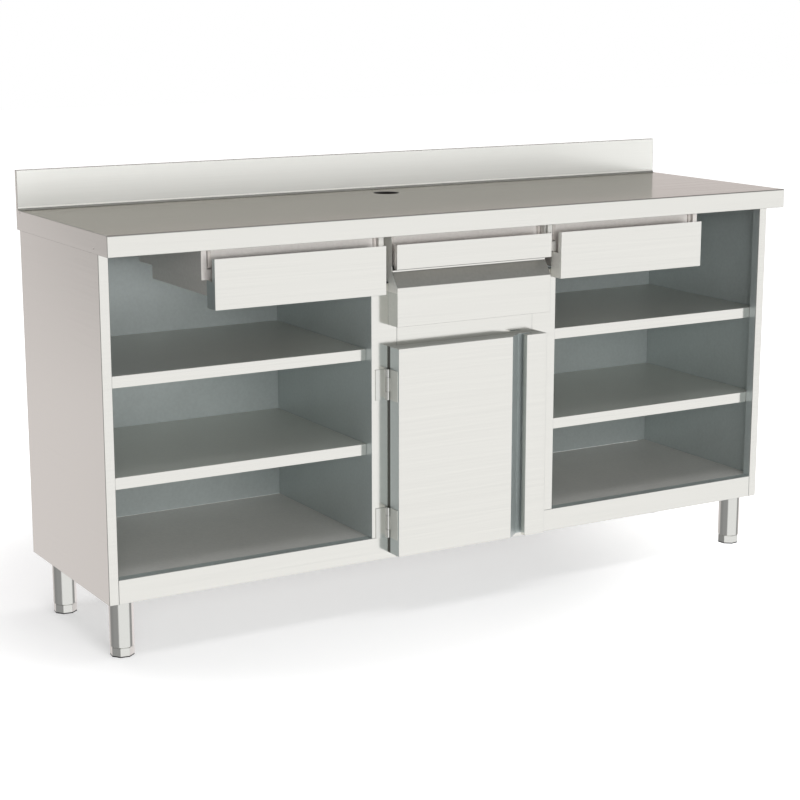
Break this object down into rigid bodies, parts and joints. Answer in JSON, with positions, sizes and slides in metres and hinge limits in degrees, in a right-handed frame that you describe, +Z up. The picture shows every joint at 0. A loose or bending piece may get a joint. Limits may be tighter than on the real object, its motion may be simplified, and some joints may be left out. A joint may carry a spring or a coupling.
{
  "type": "coffee machine counter",
  "caption": "Stainless steel coffee bar counter with a rear upstand, open shelf bays, drawers, a knock-out drawer over a hopper, a hinged waste cabinet and levelling feet.",
  "frame": {"origin": "on the floor, under the middle of the worktop", "axes": "+X along the counter to the right as seen from the front, +Y towards the upstand at the rear, +Z up"},
  "size_m": [2, 0.6, 1.135],
  "materials": {
    "steel": "fine brushed stainless",
    "slide_steel": "zinc plated",
    "board": "raw board",
    "bar_rubber": "matt black",
    "catch_plastic": "matt dark grey"
  },
  "bodies": {
    "counter": {"worktop": "steel", "worktop_board": "board", "side_panel_left": "steel", "side_panel_right": "steel", "divider_left": "steel", "divider_right": "steel", "back_panel": "steel", "base_rail": "steel", "base_floor": "steel", "shelf_left_upper": "steel", "shelf_left_lower": "steel", "shelf_right_upper": "steel", "shelf_right_lower": "steel", "front_cross_panel": "steel", "centre_casing": "steel", "chute": "steel", "hanger_left_left": "steel", "hanger_left_right": "steel", "hanger_right_left": "steel", "hanger_right_right": "steel", "slide_fixed_left_left": "slide_steel", "slide_fixed_left_right": "slide_steel", "slide_fixed_centre_left": "slide_steel", "slide_fixed_centre_right": "slide_steel", "slide_fixed_right_left": "slide_steel", "slide_fixed_right_right": "slide_steel", "door_catch": "catch_plastic", "hinge_frame_leaf_upper": "steel", "hinge_frame_leaf_lower": "steel", "hinge_pin_upper": "steel", "hinge_pin_lower": "steel", "leg_left_front": "steel", "leg_left_rear": "steel", "leg_right_front": "steel", "leg_right_rear": "steel"},
    "drawer_left": {"drawer_box_left": "steel", "drawer_front_left": "steel", "slide_moving_left_left": "slide_steel", "slide_moving_left_right": "slide_steel"},
    "drawer_centre": {"drawer_box_centre": "steel", "drawer_front_centre": "steel", "knock_bar": "bar_rubber", "slide_moving_centre_left": "slide_steel", "slide_moving_centre_right": "slide_steel"},
    "drawer_right": {"drawer_box_right": "steel", "drawer_front_right": "steel", "slide_moving_right_left": "slide_steel", "slide_moving_right_right": "slide_steel"},
    "door": {"door_skin": "steel", "door_pan": "steel", "hinge_door_leaf_upper": "steel", "hinge_door_leaf_lower": "steel"},
    "foot_lf": {"foot_left_front": "steel"},
    "foot_lr": {"foot_left_rear": "steel"},
    "foot_rf": {"foot_right_front": "steel"},
    "foot_rr": {"foot_right_rear": "steel"}
  },
  "joints": [
    {"name": "drawer_left_slide", "type": "slide", "parent": "counter", "child": "drawer_left", "axis": [0, -1, 0], "range_m": [0, 0.26]},
    {"name": "drawer_centre_slide", "type": "slide", "parent": "counter", "child": "drawer_centre", "axis": [0, -1, 0], "range_m": [0, 0.26]},
    {"name": "drawer_right_slide", "type": "slide", "parent": "counter", "child": "drawer_right", "axis": [0, -1, 0], "range_m": [0, 0.26]},
    {"name": "door_hinge", "type": "hinge", "parent": "counter", "child": "door", "pos_m": [-0.2348, -0.2393, 0.43], "axis": [0, 0, 1], "range_deg": [-95, 0]},
    {"name": "foot_left_front_turn", "type": "hinge", "parent": "counter", "child": "foot_lf", "pos_m": [-0.947, -0.18, 0.02], "axis": [0, 0, 1], "range_deg": [-180, 180]},
    {"name": "foot_left_rear_turn", "type": "hinge", "parent": "counter", "child": "foot_lr", "pos_m": [-0.947, 0.202, 0.02], "axis": [0, 0, 1], "range_deg": [-180, 180]},
    {"name": "foot_right_front_turn", "type": "hinge", "parent": "counter", "child": "foot_rf", "pos_m": [0.947, -0.18, 0.02], "axis": [0, 0, 1], "range_deg": [-180, 180]},
    {"name": "foot_right_rear_turn", "type": "hinge", "parent": "counter", "child": "foot_rr", "pos_m": [0.947, 0.202, 0.02], "axis": [0, 0, 1], "range_deg": [-180, 180]}
  ]
}
